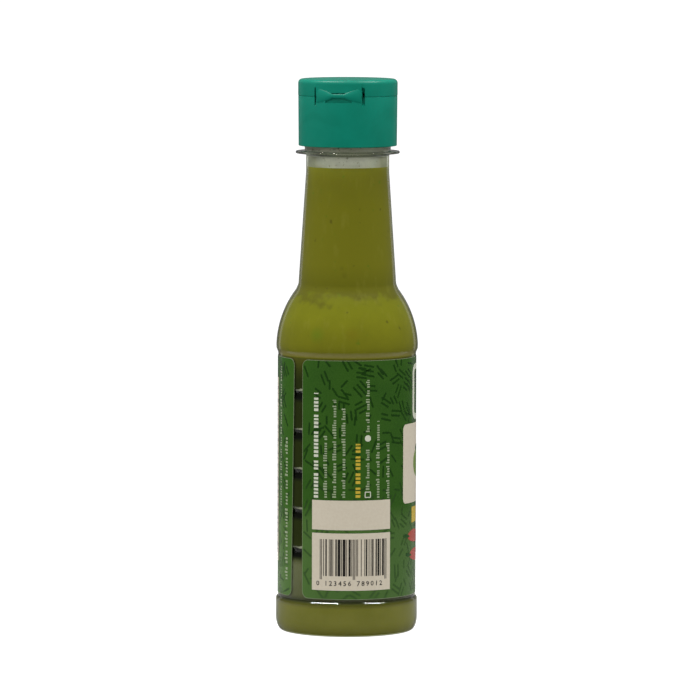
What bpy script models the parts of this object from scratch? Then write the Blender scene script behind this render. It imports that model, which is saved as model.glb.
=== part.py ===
"""Hot sauce bottle: a clear PET bottle of green sauce with a wrap-around label and a flip-top closure.

Run it with: blender --background --python part.py
Units are metres and +Z is up. The origin is the centre of the base, on the surface the bottle stands on.
The closure's hinge is at the back, on the -Y side, and its pin lies along X.
Turned shapes are outlines of (radius, height) points, spun about Z.
"""

import math

import bmesh
import bpy
from mathutils import Matrix, Vector

SEGMENTS = 48  # facets round every turned piece
GAP = 0.0003  # clearance between pieces that touch on the real bottle

# Bottle body
BODY_RADIUS = 0.0223
PANEL_RADIUS = 0.0213  # recess that the label lies in
PANEL_BOTTOM = 0.0110
PANEL_TOP = 0.0881
STEP_ROUND = BODY_RADIUS - PANEL_RADIUS  # quarter-round edge above and below the panel
HEEL_ROUND = 0.0026
WALL = 0.0006

# Push-up under the base
FOOT_INNER_RADIUS = 0.0172
PUSH_UP_RADIUS = 0.0150
PUSH_UP_HEIGHT = 0.0028
BASE_WALL = 0.0010

# Stiffening grooves round the panel
GROOVE_COUNT = 5
GROOVE_LOWEST = 0.0260
GROOVE_PITCH = 0.0124
GROOVE_HEIGHT = 0.0041
GROOVE_DEPTH = 0.0007

# Shoulder and neck
SHOULDER_RADIUS = 0.0306
SHOULDER_BOTTOM = PANEL_TOP + STEP_ROUND
SHOULDER_TOP = 0.1080
NECK_CONE_TOP = 0.1445
NECK_RADIUS = 0.01303
NECK_ROOT = 0.0004  # the cone starts this much inside the shoulder's arc, as a small blend

# Support ring and the finish that the closure sits on
RING_RADIUS = 0.0163
RING_BOTTOM = 0.1502
RING_TOP = 0.1511
RING_ROOT = 0.0006
FINISH_RADIUS = 0.0135
MOUTH = 0.1663
BORE_RADIUS = 0.0109
NECK_BORE_RADIUS = 0.0117  # inside of the neck just under the ring

# Contents
FILL_LEVEL = 0.1462

# Label
LABEL_OUTER_RADIUS = 0.0218
LABEL_THICKNESS = 0.00025
LABEL_BOTTOM = 0.0119
LABEL_TOP = 0.0868
LABEL_CORNER = 0.0022
LABEL_START = math.radians(-30.0)  # angles run from the -Y side towards +X
LABEL_END_TOP = math.radians(321.3)
LABEL_END_BOTTOM = math.radians(317.6)

# Closure, a base that grips the finish and a lid hinged to it
CAP_RADIUS = 0.01555
CAP_FOOT_RADIUS = 0.01542
CAP_BOTTOM = 0.1527
SKIRT_BORE_RADIUS = 0.0138
DECK_UNDERSIDE = MOUTH + GAP
PARTING = 0.1685  # middle of the gap between base and lid
BASE_TOP = PARTING - GAP / 2
LID_BOTTOM = PARTING + GAP / 2
PLATEAU_RADIUS = 0.0118
PLATEAU_TOP = BASE_TOP + 0.0006
SPOUT_FOOT_RADIUS = 0.0046
SPOUT_TIP_RADIUS = 0.0033
SPOUT_TOP = 0.1714
ORIFICE_RADIUS = 0.00175
LID_RADIUS = 0.0156
LID_EDGE = 0.17365  # where the lid's flat top would meet its side
LID_CROWN = 0.1740
LID_ROUND = 0.0013
LID_BORE_RADIUS = 0.01435
LID_CEILING = 0.1725
PIN_RADIUS = 0.00145
PIN_TIP_RADIUS = 0.0010
PIN_TIP = 0.1699

# Hinge: a scooped notch across the back with a bow-tie strap in it
HINGE_Y = -0.0152
NOTCH_HALF_HEIGHT = 0.0030
NOTCH_DEPTH = 0.0021
SLOT_DEPTH = 0.0028
SLOT_HALF_HEIGHT = 0.0028
SLOT_INNER_X = 0.0071
SLOT_OUTER_X = 0.0080
BACK_WALL_Y = -0.0124  # flat inner face of the lid behind the notch
STRAP_HALF_WIDTH = 0.00705
STRAP_END_X = 0.0063  # the wings keep their full height from here outwards
STRAP_HALF_HEIGHT = 0.0025
WAIST_HALF_WIDTH = 0.0020
WAIST_HALF_HEIGHT = 0.00075
WAIST_BACK_Y = -0.0142
STRAP_BACK_Y = -0.0131
STRAP_FRONT_Y = -0.01515
STRAP_BOW_RADIUS = 0.0300  # the strap's front is flatter than the closure is round

# Thumb scoop under the lid's front edge
SCOOP_RADIUS = 0.0090
SCOOP_DEPTH = 0.0009
SCOOP_BOTTOM = 0.1640

OVERSHOOT = 0.0020  # how far a cutter runs past what it cuts


def remove_everything():
    for thing in list(bpy.data.objects):
        bpy.data.objects.remove(thing)


def arc(centre_radius, centre_height, radius, start_deg, end_deg, steps):
    """Points on a circle in the (radius, height) plane, both ends included."""
    points = []
    for i in range(steps + 1):
        angle = math.radians(start_deg + (end_deg - start_deg) * i / steps)
        points.append((centre_radius + radius * math.cos(angle), centre_height + radius * math.sin(angle)))
    return points


def inset(points, distance):
    """The outline moved inwards by a wall's thickness, with mitred corners. Points run upwards along the outside."""
    moved = []
    for i, (radius, height) in enumerate(points):
        before = Vector(points[max(i - 1, 0)])
        here = Vector((radius, height))
        after = Vector(points[min(i + 1, len(points) - 1)])
        normals = [Vector((-d.y, d.x)).normalized() for d in (here - before, after - here) if d.length > 1e-7]
        mean = sum(normals, Vector((0, 0))).normalized()
        shift = distance / max(mean.dot(normals[0]), 0.5)
        moved.append((radius + mean.x * shift, height + mean.y * shift))
    return moved


def plastic(name, colour, roughness, alpha=1.0):
    material = bpy.data.materials.new(name)
    material.use_nodes = True
    shader = material.node_tree.nodes["Principled BSDF"]
    shader.inputs["Base Color"].default_value = (*colour, 1.0)
    shader.inputs["Roughness"].default_value = roughness
    shader.inputs["Metallic"].default_value = 0.0
    shader.inputs["Alpha"].default_value = alpha
    return material


def add_object(name, mesh_builder, material):
    mesh = bpy.data.meshes.new(name)
    mesh_builder.to_mesh(mesh)
    mesh_builder.free()
    thing = bpy.data.objects.new(name, mesh)
    bpy.context.scene.collection.objects.link(thing)
    if material:
        mesh.materials.append(material)
        mesh.shade_smooth()
        mesh.set_sharp_from_angle(angle=math.radians(35))
    return thing


def turned(outline, closed=False, steps=SEGMENTS):
    """Spins an outline about Z. An open outline starts and ends on the axis, and a closed one goes round a bore."""
    spun = bmesh.new()
    points = [spun.verts.new((radius, 0.0, height)) for radius, height in outline]
    edges = [spun.edges.new(pair) for pair in zip(points, points[1:])]
    if closed:
        edges.append(spun.edges.new((points[-1], points[0])))
    bmesh.ops.spin(
        spun,
        geom=points + edges,
        axis=(0, 0, 1),
        cent=(0, 0, 0),
        angle=math.tau,
        steps=steps,
        use_merge=True,
    )
    bmesh.ops.remove_doubles(spun, verts=spun.verts, dist=1e-6)
    bmesh.ops.recalc_face_normals(spun, faces=spun.faces)
    return spun


def boolean(target, cutter, operation):
    modifier = target.modifiers.new(cutter.name, "BOOLEAN")
    modifier.operation = operation
    modifier.solver = "EXACT"
    modifier.object = cutter
    cutter.hide_render = True
    cutter.display_type = "WIRE"


def lying_rod(name, radius, length, centre, facets):
    """A rod along X that cuts a scoop."""
    rod = bmesh.new()
    bmesh.ops.create_cone(
        rod, cap_ends=True, segments=facets, radius1=radius, radius2=radius, depth=length
    )
    bmesh.ops.rotate(rod, verts=rod.verts, cent=(0, 0, 0), matrix=Matrix.Rotation(math.pi / 2, 3, "Y"))
    bmesh.ops.translate(rod, verts=rod.verts, vec=centre)
    return add_object(name, rod, None)


def body_outline():
    """Outside of the blown body, from the foot up to the top of the neck's cone."""
    points = arc(BODY_RADIUS - HEEL_ROUND, HEEL_ROUND, HEEL_ROUND, -90, 0, 4)
    points += arc(PANEL_RADIUS, PANEL_BOTTOM - STEP_ROUND, STEP_ROUND, 0, 90, 3)
    for i in range(GROOVE_COUNT):
        middle = GROOVE_LOWEST + i * GROOVE_PITCH
        points.append((PANEL_RADIUS, middle - GROOVE_HEIGHT / 2))
        points.append((PANEL_RADIUS - GROOVE_DEPTH, middle))
        points.append((PANEL_RADIUS, middle + GROOVE_HEIGHT / 2))
    points += arc(PANEL_RADIUS, SHOULDER_BOTTOM, STEP_ROUND, -90, 0, 3)
    sweep = math.degrees(math.asin((SHOULDER_TOP - SHOULDER_BOTTOM) / SHOULDER_RADIUS))
    shoulder = arc(BODY_RADIUS - SHOULDER_RADIUS, SHOULDER_BOTTOM, SHOULDER_RADIUS, 0, sweep, 7)
    points += shoulder[1:]
    neck_foot = shoulder[-1][0] - NECK_ROOT
    points.append((neck_foot, SHOULDER_TOP + 2 * NECK_ROOT))
    points.append((NECK_RADIUS, NECK_CONE_TOP))
    return points


def bottle(material):
    body = body_outline()
    finish = [
        (NECK_RADIUS, RING_BOTTOM - RING_ROOT),
        (NECK_RADIUS + RING_ROOT, RING_BOTTOM),
        (RING_RADIUS, RING_BOTTOM + RING_ROOT / 2),
        (RING_RADIUS, RING_TOP),
        (FINISH_RADIUS, RING_TOP + RING_ROOT / 2),
        (FINISH_RADIUS, MOUTH),
    ]
    bore = [(BORE_RADIUS, MOUTH), (BORE_RADIUS, RING_TOP), (NECK_BORE_RADIUS, RING_BOTTOM - RING_ROOT)]
    inner = inset(body, WALL)[::-1]
    inner[0] = (NECK_BORE_RADIUS + WALL / 2, NECK_CONE_TOP)
    push_up = [(0.0, PUSH_UP_HEIGHT), (PUSH_UP_RADIUS, PUSH_UP_HEIGHT * 0.7), (FOOT_INNER_RADIUS, 0.0)]
    floor = [
        (FOOT_INNER_RADIUS, BASE_WALL),
        (PUSH_UP_RADIUS, PUSH_UP_HEIGHT * 0.7 + BASE_WALL),
        (0.0, PUSH_UP_HEIGHT + BASE_WALL),
    ]
    return add_object("bottle", turned(push_up + body + finish + bore + inner + floor), material)


def sauce(material):
    """The contents, a plain fill that stays inside the grooves, up to the level in the neck."""
    clear = WALL + GAP
    straight = PANEL_RADIUS - GROOVE_DEPTH - clear
    wall = [p for p in inset(body_outline(), clear) if p[1] < PANEL_BOTTOM or p[1] > PANEL_TOP]
    below = [p for p in wall if p[1] < PANEL_BOTTOM and p[0] > straight]
    above = [p for p in wall if p[1] > PANEL_TOP][:-1]
    top_radius = NECK_BORE_RADIUS - GAP
    column = [(straight, PANEL_BOTTOM - clear), (straight, PANEL_TOP + clear)]
    surface = [(top_radius, NECK_CONE_TOP), (top_radius, FILL_LEVEL), (0.0, FILL_LEVEL)]
    lift = BASE_WALL + GAP
    floor = [
        (0.0, PUSH_UP_HEIGHT + lift),
        (PUSH_UP_RADIUS, PUSH_UP_HEIGHT * 0.7 + lift),
        (FOOT_INNER_RADIUS + GAP, lift),
    ]
    below[0] = (below[0][0], lift)
    return add_object("sauce", turned(floor + below + column + above + surface), material)


def label(material):
    """A flat sheet with rounded corners, cut into narrow strips and wrapped round the panel."""
    radius = LABEL_OUTER_RADIUS
    start, end_top, end_bottom = (radius * a for a in (LABEL_START, LABEL_END_TOP, LABEL_END_BOTTOM))
    corners = [
        (start + LABEL_CORNER, LABEL_BOTTOM + LABEL_CORNER, 270, 180),
        (start + LABEL_CORNER, LABEL_TOP - LABEL_CORNER, 180, 90),
        (end_top - LABEL_CORNER, LABEL_TOP - LABEL_CORNER, 90, 0),
        (end_bottom - LABEL_CORNER, LABEL_BOTTOM + LABEL_CORNER, 0, -90),
    ]
    flat = bmesh.new()
    outline = [
        flat.verts.new((across, 0.0, up))
        for x, z, first, last in corners
        for across, up in arc(x, z, LABEL_CORNER, first, last, 4)
    ]
    flat.faces.new(outline)
    strip = math.tau * radius / SEGMENTS
    cut = start + LABEL_CORNER + strip / 2
    while cut < end_bottom - LABEL_CORNER:
        everything = flat.verts[:] + flat.edges[:] + flat.faces[:]
        bmesh.ops.bisect_plane(flat, geom=everything, plane_co=(cut, 0, 0), plane_no=(1, 0, 0))
        cut += strip
    for vertex in flat.verts:
        angle = vertex.co.x / radius
        vertex.co = Vector((radius * math.sin(angle), -radius * math.cos(angle), vertex.co.z))
    bmesh.ops.triangulate(flat, faces=flat.faces)
    bmesh.ops.recalc_face_normals(flat, faces=flat.faces)
    first = max(flat.faces, key=lambda face: face.calc_area())
    middle = first.calc_center_median()
    if first.normal.dot(Vector((middle.x, middle.y, 0))) < 0:
        bmesh.ops.reverse_faces(flat, faces=flat.faces)
    wrapped = add_object("label", flat, material)
    thickness = wrapped.modifiers.new("thickness", "SOLIDIFY")
    thickness.thickness = LABEL_THICKNESS
    thickness.offset = -1.0
    return wrapped


def strap_half(name, outer_sign):
    """The bow-tie strap above (+1) or below (-1) the hinge line: a row of sections along X, joined and capped."""
    stations = [-STRAP_HALF_WIDTH, -STRAP_END_X, -WAIST_HALF_WIDTH - 0.001, -WAIST_HALF_WIDTH, 0.0]
    stations += [-x for x in stations[-2::-1]]
    rise = (STRAP_HALF_HEIGHT - WAIST_HALF_HEIGHT) / (STRAP_END_X - WAIST_HALF_WIDTH)
    rings = []
    strap = bmesh.new()
    for x in stations:
        spread = min(max(abs(x) - WAIST_HALF_WIDTH, 0.0), STRAP_END_X - WAIST_HALF_WIDTH)
        far = PARTING + outer_sign * (WAIST_HALF_HEIGHT + rise * spread)
        near = PARTING + outer_sign * GAP * 0.55
        front = STRAP_FRONT_Y + x * x / (2 * STRAP_BOW_RADIUS)
        back = WAIST_BACK_Y if abs(x) <= WAIST_HALF_WIDTH else STRAP_BACK_Y
        corners = ((front, near), (back, near), (back, far), (front, far))
        rings.append([strap.verts.new((x, y, z)) for y, z in corners])
    for one, other in zip(rings, rings[1:]):
        for i in range(4):
            j = (i + 1) % 4
            strap.faces.new((one[i], one[j], other[j], other[i]))
    strap.faces.new(rings[0])
    strap.faces.new(rings[-1])
    bmesh.ops.triangulate(strap, faces=strap.faces)
    bmesh.ops.recalc_face_normals(strap, faces=strap.faces)
    return add_object(name, strap, None)


def hinge_cutters():
    """The scooped notch, and the deeper slot at each end of the strap."""
    half, depth = NOTCH_HALF_HEIGHT, NOTCH_DEPTH
    radius = (half * half + depth * depth) / (2 * depth)
    cutters = [lying_rod("notch", radius, 0.03, (0, depth - CAP_RADIUS - radius, PARTING), 24)]
    radius = (SLOT_HALF_HEIGHT**2 + SLOT_DEPTH**2) / (2 * SLOT_DEPTH)
    middle = (SLOT_INNER_X + SLOT_OUTER_X) / 2
    for side, name in ((-1, "slot_left"), (1, "slot_right")):
        centre = (side * middle, SLOT_DEPTH - CAP_RADIUS - radius, PARTING)
        cutters.append(lying_rod(name, radius, SLOT_OUTER_X - SLOT_INNER_X, centre, 24))
    return cutters


def thumb_scoop():
    """A dished cut in the base's front, just under the lid's edge."""
    half = (BASE_TOP - SCOOP_BOTTOM) / 2
    disc = bmesh.new()
    bmesh.ops.create_cone(
        disc,
        cap_ends=True,
        segments=32,
        radius1=SCOOP_RADIUS * 0.8,
        radius2=SCOOP_RADIUS,
        depth=2 * half + OVERSHOOT,
    )
    place = (0, CAP_RADIUS - SCOOP_DEPTH + SCOOP_RADIUS, SCOOP_BOTTOM + half + OVERSHOOT / 2)
    bmesh.ops.translate(disc, verts=disc.verts, vec=place)
    return add_object("thumb_scoop", disc, None)


def cap_base(material, cutters):
    section = [
        (CAP_FOOT_RADIUS, CAP_BOTTOM),
        (CAP_RADIUS, BASE_TOP),
        (PLATEAU_RADIUS, BASE_TOP),
        (PLATEAU_RADIUS, PLATEAU_TOP),
        (SPOUT_FOOT_RADIUS, PLATEAU_TOP),
        (SPOUT_TIP_RADIUS, SPOUT_TOP),
        (ORIFICE_RADIUS, SPOUT_TOP),
        (ORIFICE_RADIUS, DECK_UNDERSIDE),
        (SKIRT_BORE_RADIUS, DECK_UNDERSIDE),
        (SKIRT_BORE_RADIUS, CAP_BOTTOM),
    ]
    base = add_object("cap_base", turned(section, closed=True), material)
    for cutter in cutters:
        boolean(base, cutter, "DIFFERENCE")
    boolean(base, thumb_scoop(), "DIFFERENCE")
    boolean(base, strap_half("strap_lower", -1), "UNION")
    return base


def back_wall():
    """The lid is thicker at the back, where a flat inner wall backs the notch."""
    ring = LID_BORE_RADIUS + OVERSHOOT / 4
    reach = math.acos(-BACK_WALL_Y / ring)
    wall = bmesh.new()
    sweep = [reach * (i / 6 - 1) for i in range(13)]
    rows = []
    for height in (LID_BOTTOM + GAP / 2, LID_CEILING + OVERSHOOT / 4):
        rows.append([wall.verts.new((ring * math.sin(a), -ring * math.cos(a), height)) for a in sweep])
    low, high = rows
    for i in range(13):
        j = (i + 1) % 13
        wall.faces.new((low[i], low[j], high[j], high[i]))
    wall.faces.new(low)
    wall.faces.new(high)
    bmesh.ops.recalc_face_normals(wall, faces=wall.faces)
    return add_object("back_wall", wall, None)


def cap_lid(material, cutters):
    """The lid is hollow, and the peg at its centre closes the spout's hole."""
    peg = [
        (0.0, PIN_TIP),
        (PIN_TIP_RADIUS, PIN_TIP),
        (PIN_RADIUS, PIN_TIP + 2 * (PIN_RADIUS - PIN_TIP_RADIUS)),
        (PIN_RADIUS, LID_CEILING),
    ]
    rim = [(LID_BORE_RADIUS, LID_CEILING), (LID_BORE_RADIUS, LID_BOTTOM), (LID_RADIUS, LID_BOTTOM)]
    rounded = arc(LID_RADIUS - LID_ROUND, LID_EDGE - LID_ROUND, LID_ROUND, 0, 90, 4)
    lid = add_object("cap_lid", turned(peg + rim + rounded + [(0.0, LID_CROWN)]), material)
    boolean(lid, back_wall(), "UNION")
    for cutter in cutters:
        boolean(lid, cutter, "DIFFERENCE")
    boolean(lid, strap_half("strap_upper", 1), "UNION")
    return lid


def move_origin(thing, point):
    """Puts an object's origin at a point without moving its mesh in the world."""
    thing.data.transform(Matrix.Translation(-Vector(point)))
    thing.location = point


def build():
    remove_everything()
    clear_pet = plastic("clear_pet", (0.90, 0.92, 0.88), 0.08, alpha=0.35)
    green_sauce = plastic("green_sauce", (0.14, 0.13, 0.012), 0.35)
    printed_film = plastic("printed_film", (0.028, 0.085, 0.018), 0.30)
    teal_polypropylene = plastic("teal_polypropylene", (0.006, 0.165, 0.110), 0.35)
    bottle(clear_pet)
    sauce(green_sauce)
    label(printed_film)
    cutters = hinge_cutters()
    cap_base(teal_polypropylene, cutters)
    lid = cap_lid(teal_polypropylene, cutters)
    lid_parts = [m.object for m in lid.modifiers if m.object not in cutters]
    for part in [lid] + lid_parts:
        move_origin(part, (0.0, HINGE_Y, PARTING))


build()
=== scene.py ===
# %% [markdown]
# A slim clear bottle of green hot sauce, seen from the back, with a wrap-around label and a teal flip-top
# closure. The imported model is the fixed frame: it gives each piece its place, and this file gives each piece
# its looks. Sizes below are in millimetres and are turned into metres by one factor, as Blender works in
# metres.

# %% Load the frame
import math
import random
from functools import partial

import bmesh
import bpy
from mathutils import Matrix, Vector


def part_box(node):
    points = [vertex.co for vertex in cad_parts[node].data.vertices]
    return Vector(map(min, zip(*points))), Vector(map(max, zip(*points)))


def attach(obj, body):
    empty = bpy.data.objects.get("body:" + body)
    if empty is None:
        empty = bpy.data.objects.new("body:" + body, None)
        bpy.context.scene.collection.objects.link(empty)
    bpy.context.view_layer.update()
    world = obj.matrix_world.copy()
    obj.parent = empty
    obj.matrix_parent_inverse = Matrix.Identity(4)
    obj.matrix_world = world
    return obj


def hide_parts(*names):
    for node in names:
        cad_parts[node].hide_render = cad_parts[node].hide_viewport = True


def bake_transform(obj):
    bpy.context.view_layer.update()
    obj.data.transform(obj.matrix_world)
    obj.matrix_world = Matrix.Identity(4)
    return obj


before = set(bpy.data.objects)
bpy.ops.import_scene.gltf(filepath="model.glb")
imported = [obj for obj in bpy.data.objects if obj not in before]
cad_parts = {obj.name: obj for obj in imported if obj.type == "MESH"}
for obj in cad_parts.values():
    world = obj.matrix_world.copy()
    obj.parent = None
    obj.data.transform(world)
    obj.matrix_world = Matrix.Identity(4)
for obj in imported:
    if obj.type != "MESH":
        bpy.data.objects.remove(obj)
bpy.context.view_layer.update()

MM = 0.001
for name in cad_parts:
    low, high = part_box(name)
    print(name, "from", [round(x / MM, 1) for x in low], "to", [round(x / MM, 1) for x in high])

# %% [markdown]
# An operator works on everything that is selected, and the loaded frame comes in selected. So each piece
# starts by clearing the selection. The other moves below come back for every piece.

# %% Small tools for modelling


def deselect_all():
    if bpy.context.mode != "OBJECT":
        bpy.ops.object.mode_set(mode="OBJECT")
    bpy.ops.object.select_all(action="DESELECT")


def select_only(piece):
    deselect_all()
    piece.select_set(True)
    bpy.context.view_layer.objects.active = piece


def start_editing(piece, kind="VERT"):
    select_only(piece)
    bpy.ops.object.mode_set(mode="EDIT")
    bpy.ops.mesh.select_mode(type=kind)
    bpy.ops.mesh.select_all(action="SELECT")


def stop_editing():
    bpy.ops.object.mode_set(mode="OBJECT")


def new_shape(operator, **settings):
    """Adds something by Blender's own operator, with nothing else selected."""
    deselect_all()
    operator(**settings)
    return bpy.context.object


def slice_at(x):
    """Cuts the piece that is being edited across X at so many mm."""
    bpy.ops.mesh.select_all(action="SELECT")
    bpy.ops.mesh.bisect(plane_co=(x * MM, 0, 0), plane_no=(1, 0, 0))


def apply_placing():
    bpy.ops.object.transform_apply(location=True, rotation=True, scale=True)


def pick_points(piece, test):
    """In edit mode, selects the points whose place in mm passes the test."""
    bpy.ops.mesh.select_all(action="DESELECT")
    mesh = bmesh.from_edit_mesh(piece.data)
    for point in mesh.verts:
        point.select_set(bool(test(point.co / MM)))
    mesh.select_flush_mode()
    bmesh.update_edit_mesh(piece.data)


def finish_with(piece, kind, **settings):
    """Adds a modifier, gives it its settings and applies it, as by its drop-down menu."""
    select_only(piece)
    modifier = piece.modifiers.new(kind, kind)
    for setting, value in settings.items():
        setattr(modifier, setting, value)
    bpy.ops.object.modifier_apply(modifier=modifier.name)


def remove(*pieces):
    for piece in pieces:
        bpy.data.objects.remove(piece)


def report(piece):
    size = [round(length / MM, 2) for length in piece.dimensions]
    print(piece.name, "is", size, "mm with", len(piece.data.polygons), "faces")


def smooth(piece, degrees=32):
    select_only(piece)
    bpy.ops.object.shade_smooth_by_angle(angle=math.radians(degrees))
    report(piece)

# %% [markdown]
# Materials are small networks of nodes. One function adds a node, sets it up and links it, so that each
# material reads as a list of what it is made of. Colours are written as the hex values that a colour picker
# shows and are turned to the linear values that the shader works in. The last few functions name what comes
# back in most materials, such as a colour that fades to another along some value.

# %% Small tools for materials


def linear(code):
    """A hex colour such as 0f6f5b as linear red, green, blue and alpha."""
    parts = [int(code[i : i + 2], 16) / 255 for i in (0, 2, 4)]
    return [c / 12.92 if c <= 0.04045 else ((c + 0.055) / 1.055) ** 2.4 for c in parts] + [1.0]


def add_node(tree, kind, *inputs, out="", **settings):
    """Adds a node with its inputs, in the order that it shows or by name, and returns one of its outputs.

    Another node's output is linked, a text is a hex colour, and anything else is set on the socket. The kind
    also says what a Math node does.
    """
    kind, *operation = kind.split()
    node = tree.nodes.new("ShaderNode" + kind)
    if operation:
        node.operation = operation[0]
    for setting, value in settings.items():
        setattr(node, setting, value)
    if inputs and isinstance(inputs[0], dict):
        pairs = [(node.inputs[name], value) for name, value in inputs[0].items()]
    else:
        pairs = list(zip([socket for socket in node.inputs if socket.enabled], inputs))
    for socket, value in pairs:
        if isinstance(value, bpy.types.NodeSocket):
            tree.links.new(value, socket)
        else:
            socket.default_value = linear(value) if isinstance(value, str) else value
    shown = [socket for socket in node.outputs if socket.enabled and out in ("", socket.name)]
    return shown[0] if shown else None


def start_material(name):
    """A new material, the function that adds nodes to it, and the place on the piece."""
    material = bpy.data.materials.new(name)
    material.use_nodes = True
    material.node_tree.nodes.clear()
    add = partial(add_node, material.node_tree)
    return material, add, add("TexCoord", out="Object")


def in_mm(add, place, axis):
    """One coordinate of a place on the piece, in millimetres."""
    return add("Math DIVIDE", add("SeparateXYZ", place, out=axis), MM)


def fade(add, value, low, high, first, second, most=1.0):
    """Turns the first colour into the second, or part of the way, as a value runs from low to high."""
    return add("Mix", add("MapRange", value, low, high, 0.0, most), first, second, data_type="RGBA")


def band(add, value, low, full_low, full_high, high):
    """A share that rises from 0 to 1 between two values, and falls back to 0 between two others."""
    rise = add("MapRange", value, low, full_low)
    return add("Math MULTIPLY", rise, add("MapRange", value, high, full_high))


def bumps(add, place, size_mm, strength, high_mm=0.2):
    """A soft bump whose swells are about this far across, which unsettles the light a little."""
    swell = add("TexNoise", place, 1 / (size_mm * MM))
    return add("Bump", {"Strength": strength, "Distance": high_mm * MM, "Height": swell})

# %% [markdown]
# The camera stands where the photographer stood. The rings round the bottle are flatter at the top than at
# the base, which gives its distance and height. The hinge shows a little left of the middle, so the camera
# is turned a few degrees round the bottle. The long lens keeps the sides parallel.

# %% Camera

IMAGE_WIDTH = 700
VIEW_TURN = math.radians(11.3)
CAMERA_DISTANCE = 1.756
CAMERA_HEIGHT = 0.240
FOCUS_PIXELS = 5600
AIM_HEIGHT = 0.0883
AIM_SIDE = 0.0009
ROLL = math.radians(0.17)

away = Vector((math.sin(VIEW_TURN), -math.cos(VIEW_TURN), 0))
sideways = Vector((math.cos(VIEW_TURN), math.sin(VIEW_TURN), 0))
camera = new_shape(bpy.ops.object.camera_add)
camera.data.lens = camera.data.sensor_width * FOCUS_PIXELS / IMAGE_WIDTH
camera.data.clip_start = 0.05
camera.location = away * CAMERA_DISTANCE + Vector((0, 0, CAMERA_HEIGHT))
aim = sideways * AIM_SIDE + Vector((0, 0, AIM_HEIGHT))
look = (aim - camera.location).to_track_quat("-Z", "Y").to_matrix()
camera.rotation_euler = (look @ Matrix.Rotation(ROLL, 3, "Z")).to_euler()
bpy.context.scene.camera = camera
print("lens", round(camera.data.lens, 1), "mm")

# %% [markdown]
# The bottle stands on a round light table of white acrylic. It glows white to the camera alone, painted light
# that keeps its own shadow from showing much. In the bottle's gloss it is a pale sheet that ends a hand's
# breadth in front, and its near part is painted darker, as painted shade. It lights nothing else.

# %% Light table

table = {"radius": 0.20, "location": (0, 0, -0.00005)}
floor = new_shape(bpy.ops.mesh.primitive_circle_add, vertices=128, fill_type="NGON", **table)
floor.name = "pale_table"
floor.visible_diffuse = False

acrylic, add, place = start_material("white acrylic light table")
towards_camera = add("VectorMath DOT_PRODUCT", place, away)
# Painted shade: the table's near part is painted darker, so that the bottle's gloss mirrors it dim.
shade = fade(add, towards_camera, -0.15, 0.20, "a4a4a2", "595957")
shade = fade(add, add("TexNoise", place, 1 / (1.2 * MM)), 0.3, 0.7, shade, "929290", 0.2)
# Painted light: to the camera alone the table glows white, which hides most of the bottle's shadow.
glow = add("LightPath", out="Is Camera Ray")
matt = {"Base Color": shade, "Roughness": 0.9, "Emission Color": "ffffff", "Emission Strength": glow}
add("OutputMaterial", add("BsdfPrincipled", matt))
floor.data.materials.append(acrylic)

# %% [markdown]
# The room is wide and softly lit. Matt surfaces get an even light from all round, with more from above than
# from below and a little more from the left. Gloss mirrors what stands there: a dim room, darkest in front,
# which keeps the colours deep, a paler wall behind, and on either side of that a lit doorway, which draws
# the fine light line just inside the bottle's rims.

# %% Surroundings

world = bpy.data.worlds.new("soft studio")
world.use_nodes = True
bpy.context.scene.world = world
world.cycles.sampling_method = "NONE"
world.node_tree.nodes.clear()
add = partial(add_node, world.node_tree)

direction = add("TexCoord", out="Generated")
height = add("SeparateXYZ", direction, out="Z")
behind = add("VectorMath DOT_PRODUCT", direction, -away)
across = add("VectorMath DOT_PRODUCT", direction, sideways)

# Light for matt surfaces.
soft = add("Math MULTIPLY_ADD", height, 0.72, 0.53)
soft = add("Math MULTIPLY_ADD", add("Math MULTIPLY", across, across), 0.35, soft)
soft = add("Math MULTIPLY_ADD", across, -0.04, soft)
soft = add("Math MAXIMUM", soft, 0.20)
soft = add("Math ADD", soft, add("MapRange", height, 0.75, 1.0, 0.0, 1.7))

# Light for gloss: the wall behind, the doorways, the far wall over the table's edge, and the ceiling.
wall = add("Math POWER", add("MapRange", behind, 0.0, 0.9), 1.8)
wall = add("Math MULTIPLY_ADD", wall, 0.08, 0.05)
door = band(add, behind, 0.74, 0.80, 0.83, 0.89)
door = add("Math MULTIPLY", door, band(add, height, -0.26, -0.17, 0.30, 0.42))
mirrored = add("Math MULTIPLY_ADD", door, 0.38, wall)
far_wall = add("MapRange", behind, 0.85, 0.95, 0.0, 0.28)
far_wall = add("Math MULTIPLY", far_wall, add("MapRange", height, 0.02, 0.08))
for part in (far_wall, add("MapRange", height, 0.60, 0.90, 0.0, 0.10)):
    mirrored = add("Math MAXIMUM", mirrored, part)

path = add("LightPath").node.outputs
matt_or_clear = add("Math MAXIMUM", path["Is Diffuse Ray"], path["Is Transmission Ray"])
level = add("Mix", matt_or_clear, mirrored, soft)
level = add("Mix", path["Is Camera Ray"], level, 1.1)
add("OutputWorld", add("Background", "ffffff", level))

# %% [markdown]
# Two long soft boxes hang overhead, too high to be mirrored in the shoulder. They show only as short bright
# marks on the round edges of the base ring and of the lid.

# %% Overhead soft boxes


def soft_box(name, inner, outer, brightness, depth=0.16, rise=1.2):
    """A flat area light overhead. Its ends are metres to the camera's right and towards the camera."""
    ends = [sideways * right + away * near for right, near in (inner, outer)]
    run = ends[1] - ends[0]
    place = (ends[0] + ends[1]) / 2 + Vector((0, 0, rise))
    turn = (0, 0, math.atan2(run.y, run.x))
    lamp = new_shape(bpy.ops.object.light_add, type="AREA", location=place, rotation=turn)
    lamp.name = name
    lamp.data.shape = "RECTANGLE"
    lamp.data.size = run.length
    lamp.data.size_y = depth
    lamp.data.energy = brightness * math.pi * run.length * depth
    lamp.visible_camera = False
    lamp.visible_diffuse = False
    print(name, "is", round(run.length, 2), "by", depth, "m")


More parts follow.
